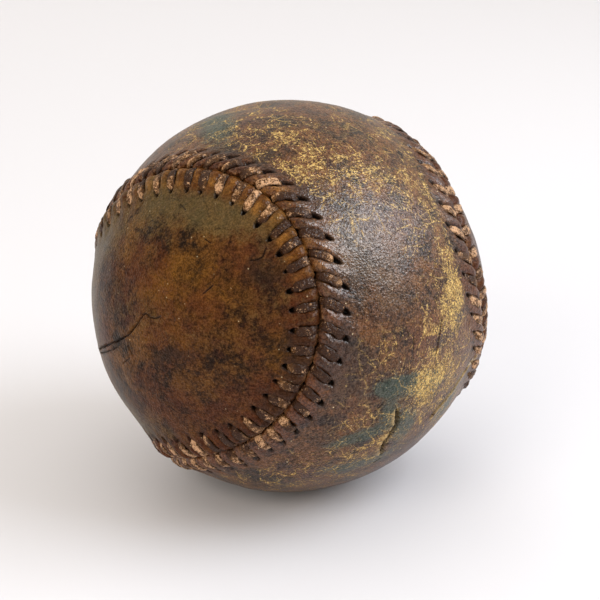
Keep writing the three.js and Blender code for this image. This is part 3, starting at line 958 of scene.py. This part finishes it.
class Hide(Shader):
    """Old oiled cowhide, built up in layers that share four noises of different sizes."""

    def __init__(self, name):
        super().__init__(name)
        self.mottle = self.noise(17, 6, 0.65, 0.3)
        self.patch = self.noise(6, 6, 0.70, 0.4)
        self.fine = self.noise(2.2, 5, 0.75, 0.2)
        self.grit = self.noise(1.15, 3, 0.75)
        self.tongue = self.attribute("tongue")
        self.near = self.attribute("seam_distance")
        # Tongue crests that get the painted highlight.
        self.crest = self.times(self.tongue, self.attribute("glow_highlight"))

    def tones(self, deep, base, amber, grey_and_sheen):
        """Mottled brown, with amber, reddish, greyed and dark areas; the greyish tint is partly
        greyed leather and partly painted sheen.
        """
        tone = self.mixed((self.mottle, 0.45), (self.patch, 0.35), (self.fine, 0.2))
        colour = self.blend(self.band(tone, 0.42, 0.59), deep, base)
        warm = self.mixed((self.mottle, 0.9), (self.patch, 0.8), (self.fine, 1.3),
                          (self.attribute("amber"), 0.40))
        colour = self.tint(colour, amber, self.band(warm, 1.40, 2.30), 0.8)
        russet = self.mixed((self.noise(30, 3, 0.6), 1.0), (self.fine, 0.6), (self.tongue, 0.22))
        colour = self.tint(colour, srgb(82, 40, 18), self.band(russet, 0.72, 1.0), 0.6)
        # Greyed leather and painted sheen.
        grey_and_sheen_mix = self.mixed((self.attribute("grey_and_sheen"), 0.8), (self.patch, 1.8), (self.fine, 1.0))
        colour = self.tint(colour, grey_and_sheen, self.band(grey_and_sheen_mix, 1.50, 2.35), 0.65)
        shade = self.mixed((self.attribute("dark"), 1.0), (self.noise(8, 6, 0.7, 0.8), 2.2))
        return self.tint(colour, srgb(38, 25, 17), self.band(shade, 1.4, 2.05), 0.65)

    def stains(self, colour):
        """Dark crackle, and green-blue stains."""
        crackle = self.times(self.band(self.cells(8, "DISTANCE_TO_EDGE", 0.8), 0.035, 0.005),
                             self.band(self.noise(13, 5, 0.7), 0.50, 0.58))
        colour = self.tint(colour, srgb(28, 18, 12), crackle, 0.6)
        blot = self.mixed((self.attribute("teal"), 1.0), (self.fine, 1.4), (self.patch, 0.8))
        return self.tint(colour, srgb(44, 60, 50), self.band(blot, 1.42, 1.85), 0.8)

    def gold_wear(self):
        """Golden bare fibre: short scuffs in clusters, and a net of fine broken scratches."""
        amount = self.times(self.attribute("gold"), self.band(self.near, 17, 25))
        broken = self.noise(9, 6, 0.75)
        reach = self.mixed((amount, 1.0), (broken, 3.2), (-1.6, 1.0))
        low = self.band(reach, -0.1, 2.2, 0.72, 0.44)
        high = self.math("ADD", low, 0.06)
        scuffs = 0.0
        for along, size in (((0.7, 0.26, 0.66), 0.95), ((0.9, 0.2, -0.4), 0.85)):
            noise = self.noise(size, 3, 0.7, 0.0, self.drawn_out(along, 3.5))
            scuffs = self.larger(scuffs, self.band(noise, low, high))
        veins = self.band(self.cells(14, "DISTANCE_TO_EDGE", 0.35), 0.045, 0.0)
        finer = self.band(self.cells(7, "DISTANCE_TO_EDGE", 0.4), 0.032, 0.0)
        net = self.times(self.larger(veins, finer), self.band(broken, 0.44, 0.53),
                         self.band(self.grit, 0.40, 0.50), self.band(amount, 0.15, 0.65))
        return self.larger(self.times(scuffs, 0.95), self.times(net, 0.85))

    def wear(self, colour, rubbed, rub):
        """Golden rubbing, and a few pale nicks."""
        gilt = self.blend(self.band(self.fine, 0.4, 0.6), srgb(146, 112, 58), srgb(208, 174, 98))
        colour = self.tint(colour, gilt, rubbed, rub)
        nicks = self.times(self.band(self.cells(6.5), 0.085, 0.045),
                           self.band(self.patch, 0.47, 0.53))
        return self.tint(colour, srgb(226, 206, 166), nicks, 0.3 + 0.5 * rub)

    def tongues(self, colour, amber):
        """Tongues whose crests are warmed: partly amber wear and partly a painted highlight on the
        crests that face the light.
        """
        # Painted highlight: a lighter amber on the crests in the highlight zones.
        painted_crest_highlight = self.times(self.crest, self.band(self.tongue, 0.55, 1.0),
                         self.band(self.noise(9, 4, 0.7), 0.42, 0.60),
                         self.band(self.fine, 0.35, 0.6, 0.4, 1.0))
        colour = self.tint(colour, amber, self.crest, 0.22)
        return self.tint(colour, srgb(132, 88, 37), painted_crest_highlight)

    def recess_shade(self, colour):
        """Painted shade in the seam gap, the strand channels, the holes and the cracks; bare fibre
        on torn edges; and paler panel edges, partly bare fibre and partly a painted highlight.
        """
        # Painted shade: the seam gap, the channels under the strands, the holes and the cracks are
        # darkened.
        seam_line = self.times(self.band(self.near, 0.8, -1.6), 0.85)
        channel = self.times(self.band(self.near, 16, 12), self.band(self.tongue, 0.5, 0.0), 0.6)
        recess_shade = self.larger(seam_line, channel, self.attribute("hole"), self.attribute("split_shade"))
        frayed = self.times(self.attribute("frayed"), self.band(self.fine, 0.38, 0.56))
        colour = self.tint(colour, srgb(196, 164, 108), frayed, 0.75)
        # Painted shade colour.
        colour = self.tint(colour, srgb(20, 13, 10), recess_shade)
        # Paler panel edges: partly bare fibre and partly a painted highlight along the edge.
        pale = self.times(self.attribute("cut"), self.band(self.fine, 0.46, 0.58))
        return self.tint(colour, srgb(166, 122, 84), pale, 0.65)


def leather(name, deep, base, amber, grey_and_sheen, rub, shine, grain):
    """One panel's leather; rub, shine and grain are how golden, glossy and speckled it is."""
    hide = Hide(name)
    rubbed = hide.gold_wear()
    colour = hide.stains(hide.tones(deep, base, amber, grey_and_sheen))
    colour = hide.tongues(hide.wear(colour, rubbed, rub), amber)
    speckle = hide.band(hide.grit, 0.38, 0.62, 1 - grain, 1 + 1.2 * grain)
    colour = hide.recess_shade(hide.blend(1.0, colour, speckle, "MULTIPLY"))
    gloss = hide.mixed((hide.fine, 0.24), (rubbed, 0.25), (hide.crest, -0.10), (0.22, 1.0))
    pores = hide.mixed((hide.grit, 0.4), (hide.fine, 0.6))
    sheen = hide.times(shine, hide.band(pores, 0.40, 0.60, 0.5, 1.5))
    normal = hide.bump(hide.noise(5, 1, 0.5), 0.16)
    normal = hide.bump(hide.noise(1.2, 1, 0.5), 0.46, under=normal)
    return hide.finish(Base_Color=colour, Roughness=gloss, Normal=normal, Specular_IOR_Level=sheen)


def lace_leather():
    """Rawhide thong: dark and fibrous, with pinkish specks that are partly worn fibre and partly
    painted glints, painted shade on its sides, and painted shade where it sinks.
    """
    m = Shader("lace_leather")
    fine = m.noise(1.2, 5, 0.75, 0.8)
    patch = m.noise(4, 4, 0.65)
    worn = m.attribute("worn")
    tan = m.blend(m.band(m.noise(13, 2), 0.42, 0.58), srgb(108, 75, 42), srgb(128, 86, 38))
    colour = m.blend(m.band(patch, 0.35, 0.65), srgb(80, 50, 23), tan)
    colour = m.tint(colour, srgb(54, 30, 14), m.band(worn, 0.55, 0.0))
    # Pinkish specks: partly worn fibre, partly painted glints.
    flecks_and_glints = m.mixed((fine, 1.0), (worn, 0.2), (patch, 0.6))
    colour = m.tint(colour, srgb(214, 168, 128), m.band(flecks_and_glints, 0.90, 1.00), 0.85)
    colour = m.tint(colour, srgb(34, 22, 16), m.band(fine, 0.46, 0.34))
    # Painted shade on the thong's sides.
    colour = m.tint(colour, srgb(38, 25, 18), m.band(m.attribute("edge"), 0.6, 1.0), 0.6)
    # Painted shade where the thong dives under the leather.
    colour = m.tint(colour, srgb(22, 14, 10), m.attribute("sunk_shade"))
    normal = m.bump(m.noise(1.6, 1, 0.5), 1.3)
    gloss = m.band(fine, 0.4, 0.6, 0.55, 0.30)
    return m.finish(Base_Color=colour, Roughness=gloss, Normal=normal, Specular_IOR_Level=0.22)


def woven(name, light, dark, thread):
    """Plain-woven cloth, from two crossed runs of threads."""
    m = Shader(name)
    runs = [m.node("ShaderNodeTexWave", {"Vector": m.scaled(), "Scale": 1 / thread},
                   bands_direction=axis).outputs["Fac"] for axis in ("X", "Z")]
    weave = m.times(runs[0], runs[1])
    colour = m.blend(m.band(weave, 0.1, 0.8), dark, light)
    colour = m.tint(colour, dark, m.band(m.noise(14, 5, 0.6), 0.45, 0.7))
    return m.finish(Base_Color=colour, Roughness=0.95, Normal=m.bump(weave, 0.4))


def fibrous(name, light, dark, size):
    """Matted hair, rag or twisted twine."""
    m = Shader(name)
    strands = m.noise(size, 6, 0.75, 2.5)
    colour = m.blend(m.band(strands, 0.35, 0.65), dark, light)
    return m.finish(Base_Color=colour, Roughness=0.98, Normal=m.bump(strands, 0.8))


# ---- pieces ----

def build_panel(name, side, zones, material):
    shell = panel_shell(side)
    points, directions, masks = panel_surface(shell)
    masks.update(zones(directions))
    panel = make_mesh(name, points, shell.faces, masks)
    panel.data.materials.append(material)
    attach(panel, "root")
    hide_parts(name)
    panel.name = name + "_leather"


def build_panels():
    build_panel("cover_panel_a", SIDE_A, zones_a, leather(
        "leather_a", srgb(27, 15, 6), srgb(76, 45, 18), srgb(116, 76, 20), srgb(88, 74, 44),
        rub=0.25, shine=0.13, grain=0.30))
    build_panel("cover_panel_b", SIDE_B, zones_b, leather(
        "leather_b", srgb(28, 16, 10), srgb(92, 57, 27), srgb(118, 74, 31), srgb(84, 68, 52),
        rub=1.0, shine=0.42, grain=0.46))


def build_laces():
    material = lace_leather()
    for index in range(LACE_LENGTHS):
        points, faces, masks = lace_piece(index)
        lace = make_mesh(f"lace_thong_{index + 1}", points, faces, masks)
        lace.data.materials.append(material)
        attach(lace, "root")
        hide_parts(f"seam_lace_{index + 1}")


def finish_inside():
    """Gives the pieces inside the ball, which keep their CAD shapes, their materials."""
    canvas = woven("aged_canvas", srgb(92, 78, 58), srgb(38, 30, 22), 1.2)
    hair = fibrous("matted_hair", srgb(78, 60, 46), srgb(30, 22, 17), 1.6)
    looks = {
        "lining_panel_a": canvas,
        "lining_panel_b": canvas,
        "lining_thread": fibrous("waxed_thread", srgb(150, 130, 96), srgb(84, 68, 46), 0.8),
        "packing_upper": hair,
        "packing_lower": hair,
        "core_bundle": woven("rag_wad", srgb(150, 142, 128), srgb(92, 84, 74), 1.6),
        "core_twine": fibrous("twine", srgb(178, 148, 98), srgb(110, 86, 52), 0.9),
    }
    for node, material in looks.items():
        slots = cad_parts[node].data.materials
        slots.clear()
        slots.append(material)


# ---- studio ----

VIEW_ELEVATION = 22.0
VIEW_DISTANCE = 11 * BALL_RADIUS * MM


def aim_at_ball(thing, direction, distance):
    """Puts a camera or a light off in a direction from the ball, facing it."""
    direction = Vector(direction).normalized()
    thing.location = CENTRE + direction * distance
    thing.rotation_euler = (-direction).to_track_quat("-Z", "Y").to_euler()


def build_camera():
    camera = add_object("camera", bpy.data.cameras.new("camera"))
    aim_at_ball(camera, place(0, VIEW_ELEVATION), VIEW_DISTANCE)
    camera.data.lens = 128.8
    camera.data.shift_x = 0.02
    camera.data.shift_y = -0.0067
    bpy.context.scene.camera = camera


def build_floor():
    size = 12.0
    mesh = bpy.data.meshes.new("floor")
    corners = [(-size, -size, 0), (size, -size, 0), (size, size, 0), (-size, size, 0)]
    mesh.from_pydata(corners, [], [(0, 1, 2, 3)])
    floor = add_object("floor", mesh)
    paper = Shader("paper")
    mesh.materials.append(paper.finish(Base_Color=(0.735, 0.728, 0.768, 1), Roughness=0.9,
                                       Specular_IOR_Level=0.1))


def build_world():
    """Warm white paper behind and above, and a darker room on the camera's side."""
    world = bpy.data.worlds.new("studio")
    nodes = Nodes(world)
    sky = nodes.tree.nodes["Background"].inputs
    nodes.feed(sky["Color"], (1.0, 0.945, 0.85, 1))
    direction = nodes.node("ShaderNodeTexCoord").outputs["Generated"]
    brightest = Vector((0.12, 0.72, 0.68)).normalized()
    facing = nodes.vector("DOT_PRODUCT", direction, brightest, "Value")
    nodes.feed(sky["Strength"], nodes.band(facing, -0.5, 0.6, 0.35, 0.85))
    bpy.context.scene.world = world


def build_lights():
    """A bluish key, its glint on the right, and warm fills that leave no reflection."""
    for name, direction, distance, size, power, tint in (
            ("key", (0.755, -0.118, 0.63), 1.8, 1.3, 26, (0.86, 0.925, 1.0)),
            ("glint", (0.65, -0.29, 0.70), 1.8, 0.6, 21, (0.88, 0.94, 1.0)),
            ("fill", (-0.52, -0.73, 0.45), 2.5, 1.5, 29, (1.0, 0.93, 0.82)),
            ("back", (-0.30, 0.75, 0.60), 2.6, 1.2, 9, (1.0, 0.97, 0.94)),
            ("top", (-0.10, 0.10, 0.99), 2.4, 1.8, 7, (1.0, 0.97, 0.94))):
        light = add_object(name, bpy.data.lights.new(name, "AREA"))
        aim_at_ball(light, direction, distance)
        light.data.size = size
        light.data.energy = power
        light.data.color = tint
        light.visible_diffuse = name != "glint"
        light.visible_glossy = name in ("key", "glint")
    bpy.context.scene.view_settings.view_transform = "Standard"


build_panels()
build_laces()
finish_inside()
build_camera()
build_floor()
build_world()
build_lights()
